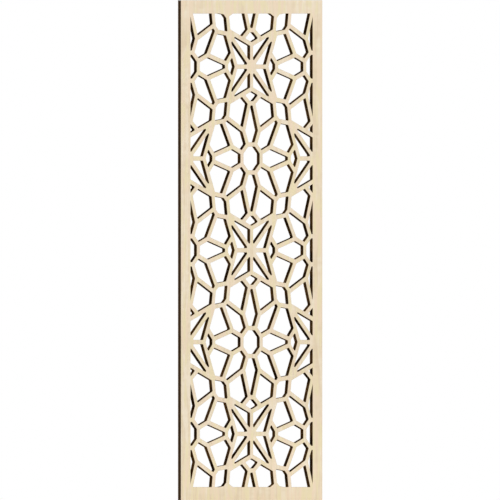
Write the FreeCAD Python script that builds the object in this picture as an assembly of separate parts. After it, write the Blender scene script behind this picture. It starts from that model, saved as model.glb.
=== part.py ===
import FreeCAD
import Part
import math
import os

# Fretwork panel: one birch plywood sheet, cut through with eight-pointed stars and eight-petalled rosettes.
# Millimetres, +Z up. The front faces -Y, the back lies on Y = 0, and the origin is the middle of the back.

# Sheet and its uncut border
PANEL_WIDTH = 304.8
PANEL_HEIGHT = 762.0
STILE_WIDTH = 20.8
RAIL_HEIGHT = 20.2

# Lay-up of the plywood
FACE_VENEER_THICKNESS = 0.9
CROSSBAND_THICKNESS = 1.35
CORE_THICKNESS = 1.45
GLUE_THICKNESS = 0.1

# Strapwork: the wood left between two holes, and the step from a star to the rosette beside or above it
STRAP_WIDTH = 6.6
STEP_ACROSS = 135.4
STEP_UP = 139.9

# Round in the pattern's own corners, and the most of a side that one round may take up
CORNER_RADIUS = 1.5
ROUND_SHARE = 0.45

# Proportions of the motif, drawn on a square whose side is one step and stretched to the two steps above
SPOKE_REACH = 0.2425
STAR_TIP_REACH = 0.4095
DIAMOND_ALONG_ARM = 0.36
KNOT_REACH = 0.3985
KNOT_HALF_WIDTH = 0.034
EYE_RADIUS = 0.165
SHOULDER_RADIUS = 0.3295
PETAL_END_REACH = 0.4205
PETAL_END_HALF_WIDTH = 0.026
RING_CORNER_REACH = 0.3695
RING_PULL = 0.014

HALF_OCTANT = math.radians(22.5)
OPENING_HALF_WIDTH = PANEL_WIDTH / 2 - STILE_WIDTH
OPENING_HALF_HEIGHT = PANEL_HEIGHT / 2 - RAIL_HEIGHT


def place(across, up):
    return FreeCAD.Vector(across, up, 0)


def polar(radius, angle):
    return place(radius * math.cos(angle), radius * math.sin(angle))


def swapped(outline):
    # Mirror image in the square's diagonal
    return [place(corner.y, corner.x) for corner in outline]


def flipped(outline):
    # Mirror image in the level axis, listed backwards so that it closes the half it mirrors
    return [place(corner.x, -corner.y) for corner in reversed(outline)]


def turned(outline):
    # The four copies of an outline, a quarter turn apart
    copies = [outline]
    for quarter in range(3):
        copies.append([place(-corner.y, corner.x) for corner in copies[-1]])
    return copies


def facing(corner):
    # The same corner measured from the other motif of the square's level side
    return place(1 - corner.x, corner.y)


def crossing(first, second):
    # Where the lines through two pairs of corners meet
    along = first[1] - first[0]
    across = second[1] - second[0]
    between = second[0] - first[0]
    share = (between.x * across.y - between.y * across.x) / (along.x * across.y - along.y * across.x)
    return first[0] + along * share


# Corners of the rosette about its own centre, on the side of the star that its level axis points to
EYE_CORNER = polar(EYE_RADIUS, HALF_OCTANT)
SHOULDER = polar(SHOULDER_RADIUS, HALF_OCTANT)
PETAL_END = place(PETAL_END_REACH + PETAL_END_HALF_WIDTH, PETAL_END_REACH - PETAL_END_HALF_WIDTH)

# Corners of the star about its own centre
HUB = place(0, 0)
SPOKE_END = place(SPOKE_REACH, 0)
STAR_TIP = place(STAR_TIP_REACH, STAR_TIP_REACH)
DIAMOND_SHOULDER = SPOKE_END + (STAR_TIP - SPOKE_END) * DIAMOND_ALONG_ARM
KNOT = place(KNOT_REACH, KNOT_HALF_WIDTH)


def ring_cell(pull):
    # The six-sided cell halfway between two stars, drawn in towards the star at the square's corner
    near_half = [place(RING_CORNER_REACH, RING_CORNER_REACH), facing(PETAL_END)]
    near_half.append(facing(swapped([PETAL_END])[0]))
    far_half = [place(1, 1) - corner for corner in near_half]
    return [corner - place(pull, pull) for corner in near_half + far_half]


def star_cells(pull):
    # Blades, diamonds and kites about one star whose rings are drawn in by pull
    ring_side = ring_cell(pull)[:2]
    blade = [HUB, SPOKE_END, STAR_TIP]
    diamond_half = [SPOKE_END, DIAMOND_SHOULDER, KNOT]
    kite = [DIAMOND_SHOULDER, KNOT, facing(SHOULDER)]
    kite.append(crossing([facing(SHOULDER), facing(PETAL_END)], ring_side))
    kite.append(crossing([SPOKE_END, STAR_TIP], ring_side))
    cells = turned(diamond_half + flipped(diamond_half[1:]))
    for outline in (blade, kite):
        cells += turned(outline) + turned(swapped(outline))
    return cells


def rosette_cells():
    # The eye, the four petals on the axes and the four on the diagonals
    axis_petal_half = [EYE_CORNER, SHOULDER, facing(KNOT)]
    diagonal_petal_half = [EYE_CORNER, SHOULDER, PETAL_END]
    cells = turned(axis_petal_half + flipped(axis_petal_half))
    cells += turned(diagonal_petal_half + list(reversed(swapped(diagonal_petal_half))))
    cells.append([polar(EYE_RADIUS, HALF_OCTANT * corner) for corner in range(1, 16, 2)])
    return cells


def strapwork_cells():
    # Every cell of the pattern about the panel's middle, a little past the border on all sides
    columns = math.ceil(OPENING_HALF_WIDTH / STEP_ACROSS)
    rows = math.ceil(OPENING_HALF_HEIGHT / STEP_UP)
    cells = []
    for column in range(-columns, columns + 1):
        for row in range(-rows, rows + 1):
            if (column + row) % 2:
                motif = rosette_cells()
            elif column % 2:
                motif = star_cells(-RING_PULL)
            else:
                motif = star_cells(RING_PULL) + turned(ring_cell(RING_PULL))
            for outline in motif:
                cells.append([place((column + corner.x) * STEP_ACROSS, (row + corner.y) * STEP_UP)
                              for corner in outline])
    return cells


def kept_side(outline, corner, inward):
    # The part of a convex outline on the inner side of the line through corner
    kept = []
    for start, end in zip(outline, outline[1:] + outline[:1]):
        start_depth = (start - corner).dot(inward)
        end_depth = (end - corner).dot(inward)
        if start_depth >= 0:
            kept.append(start)
        if start_depth * end_depth < 0:
            kept.append(start + (end - start) * (start_depth / (start_depth - end_depth)))
    return kept


def hole_outline(cell):
    # A cell with half a strap taken off along every side
    middle = sum(cell, place(0, 0)) * (1 / len(cell))
    hole = cell
    for start, end in zip(cell, cell[1:] + cell[:1]):
        along = (end - start).normalize()
        inward = place(-along.y, along.x)
        if (middle - start).dot(inward) < 0:
            inward = -inward
        hole = kept_side(hole, start + inward * (STRAP_WIDTH / 2), inward)
    return hole


def corner_round(before, corner, after):
    # Start, middle and end of the arc in one corner of a hole, smaller where a side is too short for it
    to_before = before - corner
    to_after = after - corner
    half_angle = to_before.getAngle(to_after) / 2
    longest_trim = ROUND_SHARE * min(to_before.Length, to_after.Length)
    trim = min(CORNER_RADIUS / math.tan(half_angle), longest_trim)
    start = corner + to_before.normalize() * trim
    end = corner + to_after.normalize() * trim
    depth = trim * (1 / math.cos(half_angle) - math.tan(half_angle))
    middle = corner + ((start + end) * 0.5 - corner).normalize() * depth
    return [start, middle, end]


def hole_face(outline):
    # A hole with all its corners rounded
    neighbours = zip(outline[-1:] + outline[:-1], outline, outline[1:] + outline[:1])
    rounds = [corner_round(*corners) for corners in neighbours]
    edges = []
    for arc, following in zip(rounds, rounds[1:] + rounds[:1]):
        edges.append(Part.Arc(*arc).toShape())
        edges.append(Part.LineSegment(arc[-1], following[0]).toShape())
    return Part.Face(Part.Wire(edges))


def centred_plane(half_width, half_height):
    return Part.makePlane(2 * half_width, 2 * half_height, place(-half_width, -half_height))


def pierced_sheet():
    # The pattern stops sharply at the border. The sheet is drawn lying flat, then stood on its bottom edge
    outlines = [hole_outline(cell) for cell in strapwork_cells()]
    pattern = Part.Compound([hole_face(outline) for outline in outlines if len(outline) > 2])
    holes = centred_plane(OPENING_HALF_WIDTH, OPENING_HALF_HEIGHT).common(pattern)
    lying = centred_plane(PANEL_WIDTH / 2, PANEL_HEIGHT / 2).cut(holes.Faces)
    return lying.rotated(place(0, 0), place(1, 0), 90)


# Plies and glue films, from the back face to the front
LAY_UP = [
    ("back_face_veneer", FACE_VENEER_THICKNESS),
    ("back_glue_line", GLUE_THICKNESS),
    ("back_crossband", CROSSBAND_THICKNESS),
    ("back_core_glue_line", GLUE_THICKNESS),
    ("core_ply", CORE_THICKNESS),
    ("front_core_glue_line", GLUE_THICKNESS),
    ("front_crossband", CROSSBAND_THICKNESS),
    ("front_glue_line", GLUE_THICKNESS),
    ("front_face_veneer", FACE_VENEER_THICKNESS),
]

os.makedirs("parts", exist_ok=True)
sheet = pierced_sheet()
depth = 0
for name, thickness in LAY_UP:
    back_face = sheet.translated(FreeCAD.Vector(0, -depth, 0))
    layer = Part.Compound([face.extrude(FreeCAD.Vector(0, -thickness, 0)) for face in back_face.Faces])
    layer.exportStep(f"parts/{name}.step")
    depth += thickness
    print(name, "solids", len(layer.Solids), "volume", round(layer.Volume, 1))
print("sheet thickness", round(depth, 3), "holes", len(sheet.Wires) - 1)
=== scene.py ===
import logging
import math
from dataclasses import dataclass
from enum import Enum
from typing import Any, Union

import bmesh
import bpy
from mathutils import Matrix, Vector


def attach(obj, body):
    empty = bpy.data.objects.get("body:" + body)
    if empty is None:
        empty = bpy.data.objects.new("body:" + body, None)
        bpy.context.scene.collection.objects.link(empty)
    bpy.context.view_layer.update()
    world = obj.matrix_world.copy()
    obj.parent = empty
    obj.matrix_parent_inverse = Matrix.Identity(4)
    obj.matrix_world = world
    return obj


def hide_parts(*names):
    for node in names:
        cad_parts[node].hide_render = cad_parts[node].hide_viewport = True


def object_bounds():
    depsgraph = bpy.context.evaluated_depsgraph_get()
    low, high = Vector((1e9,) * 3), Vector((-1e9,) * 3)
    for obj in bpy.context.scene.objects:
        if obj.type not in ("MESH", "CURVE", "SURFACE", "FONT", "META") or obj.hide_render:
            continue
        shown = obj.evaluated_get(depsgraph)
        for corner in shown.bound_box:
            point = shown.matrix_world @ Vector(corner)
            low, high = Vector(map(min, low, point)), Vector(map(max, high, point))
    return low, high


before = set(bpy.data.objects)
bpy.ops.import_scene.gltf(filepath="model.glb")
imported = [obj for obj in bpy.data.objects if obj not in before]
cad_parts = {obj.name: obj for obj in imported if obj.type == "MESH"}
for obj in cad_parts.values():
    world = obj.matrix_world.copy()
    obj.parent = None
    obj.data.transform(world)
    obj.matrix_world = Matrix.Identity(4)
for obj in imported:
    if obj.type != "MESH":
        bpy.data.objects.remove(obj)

# A laser-cut birch panel: two figured face veneers over burnt inner plies, in a white studio.

CAD_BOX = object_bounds()
BODY = "root"
MILLIMETRE = 0.001
SCORCH = "scorch"
WHITE = (1.0, 1.0, 1.0)
LOG = logging.getLogger("fretwork_panel")

Colour = tuple[float, float, float]
Place = tuple[float, float, float]
Span = tuple[float, float]
Value = Union["Signal", float]
Paint = Union["Signal", Colour]


class Signal:
    """A shader socket that takes part in Python arithmetic."""

    def __init__(self, graph: "Graph", socket: bpy.types.NodeSocket) -> None:
        """Keeps the socket and the graph that new nodes go into."""
        self.graph = graph
        self.socket = socket

    def _math(self, operation: str, first: Value, second: Value) -> "Signal":
        """Adds one Math node to the graph."""
        return self.graph.node("ShaderNodeMath", {"operation": operation}, {0: first, 1: second})

    def __add__(self, other: Value) -> "Signal":
        """Sum of two values."""
        return self._math("ADD", self, other)

    __radd__ = __add__

    def __sub__(self, other: Value) -> "Signal":
        """This value less the other."""
        return self._math("SUBTRACT", self, other)

    def __rsub__(self, other: Value) -> "Signal":
        """The other value less this one."""
        return self._math("SUBTRACT", other, self)

    def __mul__(self, other: Value) -> "Signal":
        """Product of two values."""
        return self._math("MULTIPLY", self, other)

    __rmul__ = __mul__

    def __truediv__(self, other: Value) -> "Signal":
        """This value divided by the other."""
        return self._math("DIVIDE", self, other)

    def __pow__(self, other: Value) -> "Signal":
        """This value raised to a power."""
        return self._math("POWER", self, other)

    def __gt__(self, other: Value) -> "Signal":
        """One where this value is the larger, else zero."""
        return self._math("GREATER_THAN", self, other)

    def __abs__(self) -> "Signal":
        """Size of this value without its sign."""
        return self._math("ABSOLUTE", self, 0.0)

    def larger(self, other: Value) -> "Signal":
        """The larger of two values."""
        return self._math("MAXIMUM", self, other)

    def fraction(self) -> "Signal":
        """What is left of this value above a whole number."""
        return self._math("FRACT", self, 0.0)

    def spread(self, span: Span) -> "Signal":
        """Eases this value from 0 at the low end of a span to 1 at its high end.

        Args:
            span: Values that become 0 and 1.

        Returns:
            The eased value, held between 0 and 1.
        """
        settings = {"interpolation_type": "SMOOTHSTEP"}
        inputs = {"Value": self, "From Min": span[0], "From Max": span[1]}
        return self.graph.node("ShaderNodeMapRange", settings, inputs)

    def within(self, span: Span) -> "Signal":
        """Takes this value, from 0 to 1, as a share of the way along a span."""
        return span[0] + (span[1] - span[0]) * self


class Graph:
    """The node tree of one material or of the world."""

    # Sockets of the Mix node for colours: share, first colour and second colour, then the result
    MIX_INPUTS = (0, 6, 7)
    MIX_OUTPUT = 2

    def __init__(self, tree: bpy.types.NodeTree) -> None:
        """Empties the tree and keeps it."""
        tree.nodes.clear()
        self.tree = tree

    def node(
        self,
        kind: str,
        settings: dict[str, Any],
        inputs: dict[Union[int, str], Any],
        output: Union[int, str] = 0,
    ) -> Signal:
        """Adds a node, sets it up and links it.

        Args:
            kind: Blender's name for the node's type.
            settings: Attributes of the node, set before its sockets.
            inputs: Socket name or number to a value or a signal.
            output: Name or number of the output socket to hand back.

        Returns:
            The chosen output as a signal.
        """
        made = self.tree.nodes.new(kind)
        for attribute, value in settings.items():
            setattr(made, attribute, value)
        for key, value in inputs.items():
            socket = made.inputs[key]
            if isinstance(value, Signal):
                self.tree.links.new(value.socket, socket)
            elif socket.type == "RGBA":
                socket.default_value = (*value, 1.0)
            else:
                socket.default_value = value
        return Signal(self, made.outputs[output])

    def blend(self, first: Paint, second: Paint, share: Value) -> Signal:
        """Mixes two colours: the first where share is 0, the second where it is 1."""
        inputs = dict(zip(self.MIX_INPUTS, (share, first, second)))
        return self.node("ShaderNodeMix", {"data_type": "RGBA"}, inputs, self.MIX_OUTPUT)

    def axes(self, source: str) -> tuple[Signal, Signal, Signal]:
        """Splits a vector of the piece's own frame.

        Args:
            source: Output of the Texture Coordinate node, such as Object or Normal.

        Returns:
            Its parts along X, Y and Z.
        """
        vector = self.node("ShaderNodeTexCoord", {}, {}, source)
        parts = [self.node("ShaderNodeSeparateXYZ", {}, {0: vector}, axis) for axis in range(3)]
        return parts[0], parts[1], parts[2]

    def noise(self, place: tuple[Value, Value, Value], detail: float) -> Signal:
        """Smooth random value, about one swell to each unit of the place.

        Args:
            place: Coordinates, already divided by the size of a swell.
            detail: Number of finer octaves.

        Returns:
            A value from 0 to 1.
        """
        vector = self.node("ShaderNodeCombineXYZ", {}, dict(enumerate(place)))
        inputs = {"Vector": vector, "Scale": 1.0, "Detail": detail}
        return self.node("ShaderNodeTexNoise", {}, inputs, "Fac")

    def finish(
        self, colour: Signal, roughness: Signal, height: Signal, relief: float, gloss: float
    ) -> None:
        """Closes a material with a Principled shader.

        Args:
            colour: Base colour.
            roughness: Roughness.
            height: Relief, as a share of its full depth.
            relief: Full depth of the relief in metres.
            gloss: Specular level, the same all over.
        """
        inputs = {
            "Base Color": colour,
            "Roughness": roughness,
            "Normal": self.node("ShaderNodeBump", {}, {"Height": height, "Distance": relief}),
            "Specular IOR Level": gloss,
        }
        self.show("ShaderNodeOutputMaterial", self.node("ShaderNodeBsdfPrincipled", {}, inputs))

    def show(self, kind: str, shader: Signal) -> None:
        """Links a shader to an output node of the given type."""
        made = self.tree.nodes.new(kind)
        self.tree.links.new(shader.socket, made.inputs["Surface"])


class Finish:
    """What every finish has in common: a named material."""

    def paint(self, graph: Graph) -> None:
        """Draws the finish into an empty material."""
        raise NotImplementedError

    def material(self, name: str) -> bpy.types.Material:
        """Makes the material of this finish.

        Args:
            name: Name of the material.

        Returns:
            The finished material.
        """
        made = bpy.data.materials.new(name)
        made.use_nodes = True
        self.paint(Graph(made.node_tree))
        return made


class Grain(Enum):
    """Which way the fibres of a ply run: the number of the axis."""

    LEVEL = 0
    UPRIGHT = 2


@dataclass(frozen=True)
class Pattern:
    """A soft random pattern: the size of its swells in millimetres, how fine it is and how it shows."""

    width: float
    length: float
    detail: float
    share: float = 1.0
    span: Span = (0.0, 1.0)

    def shown(self, drawn: Signal) -> Signal:
        """Eases the drawn pattern over its span, up to its share."""
        return self.share * drawn.spread(self.span)


@dataclass(frozen=True)
class Char(Pattern):
    """A pattern in a burnt wall, whose length lies along the beam."""

    def draw(self, graph: Graph, place: tuple[Signal, Signal, Signal]) -> Signal:
        """Draws the pattern.

        Args:
            graph: Material that it is drawn into.
            place: Place on the panel.

        Returns:
            A value from 0 to 1.
        """
        width = self.width * MILLIMETRE
        length = self.length * MILLIMETRE
        return graph.noise((place[0] / width, place[1] / length, place[2] / width), self.detail)


@dataclass(frozen=True)
class Figure(Pattern):
    """A pattern in a face veneer, whose length lies along the grain. Its layer parts it from the others."""

    layer: float = 0.0

    def draw(self, graph: Graph, across: Signal, along: Signal, seed: float) -> Signal:
        """Draws the pattern.

        Args:
            graph: Material that it is drawn into.
            across: Place across the grain.
            along: Place along the grain.
            seed: Number of the veneer, so that no two look alike.

        Returns:
            A value from 0 to 1.
        """
        width = self.width * MILLIMETRE
        length = self.length * MILLIMETRE
        return graph.noise((across / width, along / length, seed + self.layer), self.detail)


@dataclass(frozen=True)
class BurntEdge(Finish):
    """The wall that the laser leaves: brown on the panel's outside, brown to black inside the fretwork, where
    the blacker char is partly real and partly painted shade for the hollows of the holes.
    """

    grain: Grain
    fret_tone: Colour = (0.0820, 0.0420, 0.0130)
    outside_tone: Colour = (0.0560, 0.0330, 0.0160)
    ash_tone: Colour = (0.085, 0.045, 0.012)
    # Tone of real soot blotches, and also painted shade: the blacker char of the walls inside the fretwork
    soot_and_shade_tone: Colour = (0.0060, 0.0022, 0.0002)
    outside_depth: float = 0.3 * MILLIMETRE
    end_grain_soot: float = 0.2
    stria: Char = Char(width=0.35, length=8.0, detail=2.0, share=0.25, span=(0.55, 0.85))
    blotch: Char = Char(width=9.0, length=9.0, detail=3.0, share=0.3, span=(0.42, 0.70))
    patch: Char = Char(width=26.0, length=26.0, detail=1.0, share=0.75, span=(0.34, 0.62))
    roughness: Span = (0.75, 1.0)
    relief: float = 0.04 * MILLIMETRE
    gloss: float = 0.0

    def paint(self, graph: Graph) -> None:
        """Draws charcoal with fine lines along the beam, blacker in patches and across the fibres; the
        blackening inside the fretwork is partly painted shade.
        """
        place = graph.axes("Object")
        end_grain = abs(graph.axes("Normal")[self.grain.value])
        stria = self.stria.draw(graph, place)
        blotch = self.blotch.draw(graph, place)
        patch = self.patch.draw(graph, place)
        # Painted shade: walls inside the fretwork are blackened by the char patches and end grain, while the
        # panel's outer walls take a plain brown instead; the split stands in for the shade inside the holes,
        # the char itself is real
        unshaded_side = abs(place[0]) > CAD_BOX[1].x - self.outside_depth
        unshaded_end = abs(place[2]) > CAD_BOX[1].z - self.outside_depth
        inside_char_and_shade = self.end_grain_soot * end_grain + self.patch.shown(patch)
        colour = graph.blend(self.fret_tone, self.soot_and_shade_tone, inside_char_and_shade)
        colour = graph.blend(colour, self.outside_tone, unshaded_side.larger(unshaded_end))
        colour = graph.blend(colour, self.soot_and_shade_tone, self.blotch.shown(blotch))
        colour = graph.blend(colour, self.ash_tone, self.stria.shown(stria))
        graph.finish(colour, blotch.within(self.roughness), stria, self.relief, self.gloss)


@dataclass(frozen=True)
class EntryEdge(BurntEdge):
    """The wall of the front veneer, red-brown where the beam enters the sheet."""

    fret_tone: Colour = (0.130, 0.050, 0.005)


@dataclass(frozen=True)
class ExitEdge(BurntEdge):
    """The wall of the back veneer, toasted more than charred where the beam leaves the sheet."""

    fret_tone: Colour = (0.270, 0.118, 0.012)
    outside_tone: Colour = (0.145, 0.068, 0.015)
    # Real soot blotches, and painted shade on the back veneer's walls inside the fretwork
    soot_and_shade_tone: Colour = (0.040, 0.014, 0.001)


@dataclass(frozen=True)
class BurntGlue(Finish):
    """A resin line, burnt blacker than the wood on either side."""

    tone: Colour = (0.0090, 0.0038, 0.0010)
    crust_tone: Colour = (0.022, 0.011, 0.005)
    crust: Char = Char(width=1.2, length=1.2, detail=3.0, span=(0.4, 0.7))
    roughness: Span = (0.6, 0.9)
    relief: float = 0.02 * MILLIMETRE
    gloss: float = 0.02

    def paint(self, graph: Graph) -> None:
        """Draws a crusted black line."""
        crust = self.crust.draw(graph, graph.axes("Object"))
        colour = graph.blend(self.tone, self.crust_tone, self.crust.shown(crust))
        graph.finish(colour, crust.within(self.roughness), crust, self.relief, self.gloss)


@dataclass(frozen=True)
class BirchFace(Finish):
    """Rotary-cut birch, sanded and bare, its grain upright, toasted where the cuts end."""

    seed: float
    pale_tone: Colour = (0.862, 0.757, 0.590)
    honey_tone: Colour = (0.752, 0.620, 0.434)
    blush_tone: Colour = (0.836, 0.682, 0.506)
    straw_tone: Colour = (0.812, 0.708, 0.455)
    fleck_tone: Colour = (0.48, 0.33, 0.19)
    amber_tone: Colour = (0.50, 0.33, 0.15)
    toast_tone: Colour = (0.10, 0.055, 0.022)
    bend: Figure = Figure(width=70.0, length=330.0, detail=2.0, layer=0.0)
    streak: Figure = Figure(width=4.2, length=130.0, detail=2.0, share=0.4, layer=3.0)
    fibre: Figure = Figure(width=0.45, length=24.0, detail=2.0, share=0.18, layer=7.0)
    fleck: Figure = Figure(width=0.22, length=5.0, detail=1.0, share=0.3, span=(0.66, 0.80), layer=11.0)
    curl: Figure = Figure(width=22.0, length=7.0, detail=1.0, share=0.22, layer=13.0)
    blush: Figure = Figure(width=11.0, length=55.0, detail=2.0, share=0.85, span=(0.44, 0.60), layer=17.0)
    straw: Figure = Figure(width=7.0, length=40.0, detail=2.0, share=0.8, span=(0.48, 0.62), layer=19.0)
    band: Figure = Figure(width=330.0, length=80.0, detail=1.0, share=0.2, layer=23.0)
    heat: Figure = Figure(width=4.2, length=4.2, detail=2.0, layer=0.0)
    bend_span: Span = (-0.5, 0.5)
    ring_width: float = 17.0 * MILLIMETRE
    ring_sway: float = 7.0
    ring_rise: float = 2.0
    ring_fade: Span = (0.86, 1.0)
    ring_share: float = 0.14
    honey_span: Span = (0.40, 0.68)
    heat_span: Span = (0.5, 1.5)
    amber_share: float = 0.45
    amber_rise: float = 2.0
    toast_share: float = 0.9
    toast_span: Span = (0.82, 0.94)
    roughness: Span = (0.52, 0.74)
    fleck_depth: float = 0.6
    relief: float = 0.03 * MILLIMETRE
    gloss: float = 0.2

    def bare_wood(
        self, graph: Graph, x: Signal, z: Signal, across: Signal, rings: Signal, fibres: Signal
    ) -> Signal:
        """Mixes the tones of the bare wood.

        Args:
            graph: Material that is drawn into.
            x: Place across the panel.
            z: Place up the panel.
            across: Place across the grain, which sways up the panel.
            rings: Growth rings.
            fibres: The finest lines of the grain.

        Returns:
            Colour of the wood before it is flecked and toasted.
        """
        depth = self.streak.share * self.streak.draw(graph, across, z, self.seed)
        depth += self.ring_share * rings
        depth += self.curl.share * self.curl.draw(graph, across, z, self.seed)
        depth += self.band.share * self.band.draw(graph, x, z, self.seed)
        depth += self.fibre.share * fibres
        blush = self.blush.shown(self.blush.draw(graph, across, z, self.seed))
        straw = self.straw.shown(self.straw.draw(graph, across, z, self.seed))
        colour = graph.blend(self.pale_tone, self.honey_tone, depth.spread(self.honey_span))
        colour = graph.blend(colour, self.blush_tone, blush)
        return graph.blend(colour, self.straw_tone, straw)

    def toasted(self, graph: Graph, wood: Signal, x: Signal, z: Signal) -> Signal:
        """Browns the wood beside the cuts.

        Args:
            graph: Material that is drawn into.
            wood: Colour of the wood.
            x: Place across the panel.
            z: Place up the panel.

        Returns:
            The browned colour.
        """
        scorch = graph.node("ShaderNodeAttribute", {"attribute_name": SCORCH}, {}, "Fac")
        uneven = self.heat.draw(graph, x, z, self.seed).within(self.heat_span)
        amber = self.amber_share * uneven * scorch**self.amber_rise
        toast = self.toast_share * scorch.spread(self.toast_span)
        return graph.blend(graph.blend(wood, self.amber_tone, amber), self.toast_tone, toast)

    def paint(self, graph: Graph) -> None:
        """Draws growth rings, streaks, curl, fibres, flecks and the heat marks of the cuts."""
        x, _, z = graph.axes("Object")
        bend = self.bend.draw(graph, x, z, self.seed).within(self.bend_span)
        across = x + bend * self.ring_width
        phase = (x / self.ring_width + self.ring_sway * bend).fraction()
        rings = phase**self.ring_rise * (1.0 - phase.spread(self.ring_fade))
        fibres = self.fibre.draw(graph, across, z, self.seed)
        flecks = self.fleck.draw(graph, across, z, self.seed).spread(self.fleck.span)
        wood = self.bare_wood(graph, x, z, across, rings, fibres)
        wood = graph.blend(wood, self.fleck_tone, self.fleck.share * flecks)
        height = fibres - self.fleck_depth * flecks
        colour = self.toasted(graph, wood, x, z)
        graph.finish(colour, fibres.within(self.roughness), height, self.relief, self.gloss)


class Facing(Enum):
    """Which way a face veneer looks: the sign of Y."""

    FRONT = -1
    BACK = 1


@dataclass
class FaceVeneer:
    """An outer ply whose cut edges are eased and toasted by the heat of the cut."""

    name: str
    node: str
    slot: str
    facing: Facing
    face: BirchFace
    edge: BurntEdge
    halo_width: float = 0.9 * MILLIMETRE
    arris_width: float = 0.15 * MILLIMETRE
    arris_steps: int = 2
    weld: float = 0.001 * MILLIMETRE
    level_angle: float = math.radians(0.05)
    least_facing: float = 0.99
    normals_layer: str = "custom_normal"

    def looks_out(self, face: bmesh.types.BMFace) -> bool:
        """Tells whether a face lies in the veneer's show side."""
        return face.normal.y * self.facing.value > self.least_facing

    def is_arris(self, edge: bmesh.types.BMEdge) -> bool:
        """Tells whether an edge parts the show side from a cut wall."""
        return sum(self.looks_out(face) for face in edge.link_faces) == 1

    def shape(self) -> bpy.types.Mesh:
        """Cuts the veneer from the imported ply, with a heated margin and an eased arris round every opening.

        Returns:
            The mesh, its show side in material 0 and its walls in material 1.
        """
        form = bmesh.new()
        form.from_mesh(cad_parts[self.node].data)
        bmesh.ops.remove_doubles(form, verts=form.verts, dist=self.weld)
        bmesh.ops.dissolve_limit(form, angle_limit=self.level_angle, verts=form.verts, edges=form.edges)
        scorch = form.verts.layers.float.new(SCORCH)
        for vertex in form.verts:
            vertex[scorch] = 1.0
        show_side = [face for face in form.faces if self.looks_out(face)]
        bmesh.ops.inset_region(
            form, faces=show_side, thickness=self.halo_width, use_boundary=True, use_even_offset=True
        )
        for face in show_side:
            for vertex in face.verts:
                vertex[scorch] = 0.0
        for face in form.faces:
            face.material_index = 0 if self.looks_out(face) else 1
        bmesh.ops.bevel(
            form,
            geom=[edge for edge in form.edges if self.is_arris(edge)],
            offset=self.arris_width,
            offset_type="OFFSET",
            affect="EDGES",
            segments=self.arris_steps,
            profile=0.5,
            material=-1,
        )
        bmesh.ops.triangulate(form, faces=form.faces)
        mesh = bpy.data.meshes.new(self.name)
        form.to_mesh(mesh)
        form.free()
        mesh.attributes.remove(mesh.attributes[self.normals_layer])
        mesh.shade_flat()
        return mesh

    def build(self) -> None:
        """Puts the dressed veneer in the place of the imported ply."""
        piece = bpy.data.objects.new(self.name, self.shape())
        bpy.context.scene.collection.objects.link(piece)
        piece.data.materials.append(self.face.material(f"{self.name}_birch"))
        piece.data.materials.append(self.edge.material(f"{self.name}_burnt"))
        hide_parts(self.node)
        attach(piece, BODY)
        LOG.info("%s: %d faces in place of %s", self.name, len(piece.data.polygons), self.node)


@dataclass
class InnerPlies:
    """The plies and glue films between the face veneers, of which only the burnt walls show."""

    core: tuple[str, ...] = ("core_ply",)
    crossbands: tuple[str, ...] = ("front_crossband", "back_crossband")
    glue_lines: tuple[str, ...] = (
        "front_glue_line",
        "front_core_glue_line",
        "back_core_glue_line",
        "back_glue_line",
    )
    core_finish: Finish = BurntEdge(Grain.UPRIGHT)
    crossband_finish: Finish = BurntEdge(Grain.LEVEL)
    glue_finish: Finish = BurntGlue()

    def dress(self, nodes: tuple[str, ...], finish: Finish, name: str) -> None:
        """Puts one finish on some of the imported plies.

        Args:
            nodes: Names of the plies.
            finish: Finish that they share.
            name: Name of the material.
        """
        material = finish.material(name)
        for node in nodes:
            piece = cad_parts[node]
            piece.data.materials.clear()
            piece.data.materials.append(material)
            LOG.info("%s: %s", node, name)

    def build(self) -> None:
        """Dresses every inner ply and glue film."""
        self.dress(self.core, self.core_finish, "burnt_core")
        self.dress(self.crossbands, self.crossband_finish, "burnt_crossband")
        self.dress(self.glue_lines, self.glue_finish, "burnt_glue")


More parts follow.
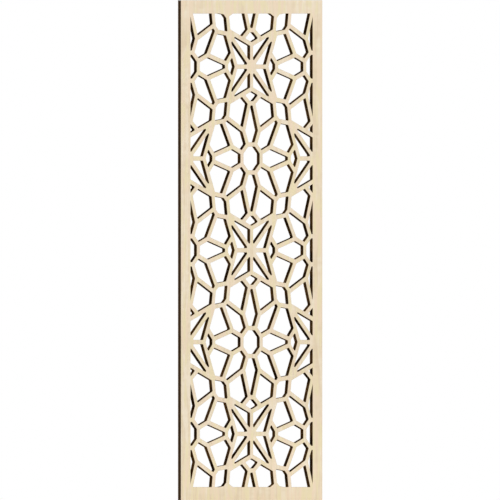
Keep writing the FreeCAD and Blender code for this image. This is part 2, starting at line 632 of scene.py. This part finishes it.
@dataclass
class Studio:
    """White surroundings, soft light and the photographer's view."""

    turn: float = math.radians(45.0)
    view_height: float = CAD_BOX[1].z - CAD_BOX[0].z
    view_distance: float = 2.5
    aim_right: float = 2.05 * MILLIMETRE
    aim_up: float = 0.43 * MILLIMETRE
    floor_size: float = 12.0
    floor_gap: float = 0.02 * MILLIMETRE
    floor_tone: Colour = (0.94, 0.94, 0.94)
    fill_strength: float = 0.53
    lamp_strength: float = 1.36
    lamp_softness: float = math.radians(70.0)
    lamp_places: tuple[tuple[str, Place], ...] = (
        ("front_lamp", (-0.7, -1.6, 0.75)),
        ("back_lamp", (0.7, 1.6, 0.75)),
    )
    foot_size: tuple[float, float] = (0.36, 0.05)
    foot_power: float = 0.009
    foot_spread: float = math.radians(90.0)
    foot_distance: float = 0.13
    foot_height: float = 0.04

    def build_world(self) -> None:
        """Lights the scene evenly and shows plain white behind the panel."""
        world = bpy.data.worlds.new("studio")
        world.use_nodes = True
        graph = Graph(world.node_tree)
        seen = graph.node("ShaderNodeLightPath", {}, {}, "Is Camera Ray")
        for ray in ("Is Glossy Ray", "Is Transmission Ray"):
            seen = seen.larger(graph.node("ShaderNodeLightPath", {}, {}, ray))
        fill = graph.node("ShaderNodeBackground", {}, {"Color": WHITE, "Strength": self.fill_strength})
        white = graph.node("ShaderNodeBackground", {}, {"Color": WHITE, "Strength": 1.0})
        shown = graph.node("ShaderNodeMixShader", {}, {0: seen, 1: fill, 2: white})
        graph.show("ShaderNodeOutputWorld", shown)
        bpy.context.scene.world = world

    def build_floor(self) -> None:
        """Lays a pale floor under the panel's bottom edge."""
        form = bmesh.new()
        bmesh.ops.create_grid(form, x_segments=1, y_segments=1, size=0.5 * self.floor_size)
        bmesh.ops.translate(form, verts=form.verts, vec=(0.0, 0.0, CAD_BOX[0].z - self.floor_gap))
        mesh = bpy.data.meshes.new("floor")
        form.to_mesh(mesh)
        form.free()
        floor = bpy.data.objects.new("floor", mesh)
        bpy.context.scene.collection.objects.link(floor)
        material = bpy.data.materials.new("floor_paint")
        material.use_nodes = True
        graph = Graph(material.node_tree)
        paint = graph.node("ShaderNodeBsdfDiffuse", {}, {"Color": self.floor_tone})
        graph.show("ShaderNodeOutputMaterial", paint)
        mesh.materials.append(material)

    def build_lamp(self, name: str, place: Place) -> None:
        """Hangs one far, soft lamp that faces the panel's middle.

        Args:
            name: Name of the lamp.
            place: Where the light comes from.
        """
        lamp = bpy.data.lights.new(name, "SUN")
        lamp.energy = self.lamp_strength
        lamp.angle = self.lamp_softness
        hung = bpy.data.objects.new(name, lamp)
        hung.location = place
        hung.rotation_euler = (-Vector(place)).to_track_quat("-Z", "Y").to_euler()
        bpy.context.scene.collection.objects.link(hung)

    def build_foot_lamp(self) -> None:
        """Lays a weak, wide lamp near the floor that lightens the panel's foot."""
        lamp = bpy.data.lights.new("foot_lamp", "AREA")
        lamp.shape = "RECTANGLE"
        lamp.size = self.foot_size[0]
        lamp.size_y = self.foot_size[1]
        lamp.energy = self.foot_power
        lamp.spread = self.foot_spread
        hung = bpy.data.objects.new("foot_lamp", lamp)
        hung.location = (0.0, CAD_BOX[0].y - self.foot_distance, CAD_BOX[0].z + self.foot_height)
        hung.rotation_euler = Vector((0.0, 1.0, 0.0)).to_track_quat("-Z", "Y").to_euler()
        hung.visible_camera = False
        bpy.context.scene.collection.objects.link(hung)

    def build_camera(self) -> None:
        """Sets up the level, parallel view of the photograph, from the panel's left."""
        right = Vector((math.cos(self.turn), -math.sin(self.turn), 0.0))
        ahead = Vector((math.sin(self.turn), math.cos(self.turn), 0.0))
        lens = bpy.data.cameras.new("camera")
        lens.type = "ORTHO"
        lens.ortho_scale = self.view_height
        camera = bpy.data.objects.new("camera", lens)
        aim = right * self.aim_right + Vector((0.0, 0.0, self.aim_up))
        camera.location = aim - ahead * self.view_distance
        camera.rotation_euler = ahead.to_track_quat("-Z", "Y").to_euler()
        bpy.context.scene.collection.objects.link(camera)
        bpy.context.scene.camera = camera

    def build(self) -> None:
        """Sets up the world, floor, lamps and camera."""
        self.build_world()
        self.build_floor()
        for name, place in self.lamp_places:
            self.build_lamp(name, place)
        self.build_foot_lamp()
        self.build_camera()
        bpy.context.scene.view_settings.view_transform = "Standard"
        LOG.info("studio: %d lamps and a foot lamp", len(self.lamp_places))


def main() -> None:
    """Builds the panel's veneers, dresses its inner plies and sets up the studio."""
    logging.basicConfig(level=logging.INFO, format="%(name)s: %(message)s")
    FaceVeneer(
        name="front_veneer",
        node="front_face_veneer",
        slot="birch_face",
        facing=Facing.FRONT,
        face=BirchFace(seed=1.7),
        edge=EntryEdge(Grain.UPRIGHT),
    ).build()
    FaceVeneer(
        name="back_veneer",
        node="back_face_veneer",
        slot="birch_back",
        facing=Facing.BACK,
        face=BirchFace(seed=41.3),
        edge=ExitEdge(Grain.UPRIGHT),
    ).build()
    InnerPlies().build()
    Studio().build()


if __name__ == "__main__":
    main()
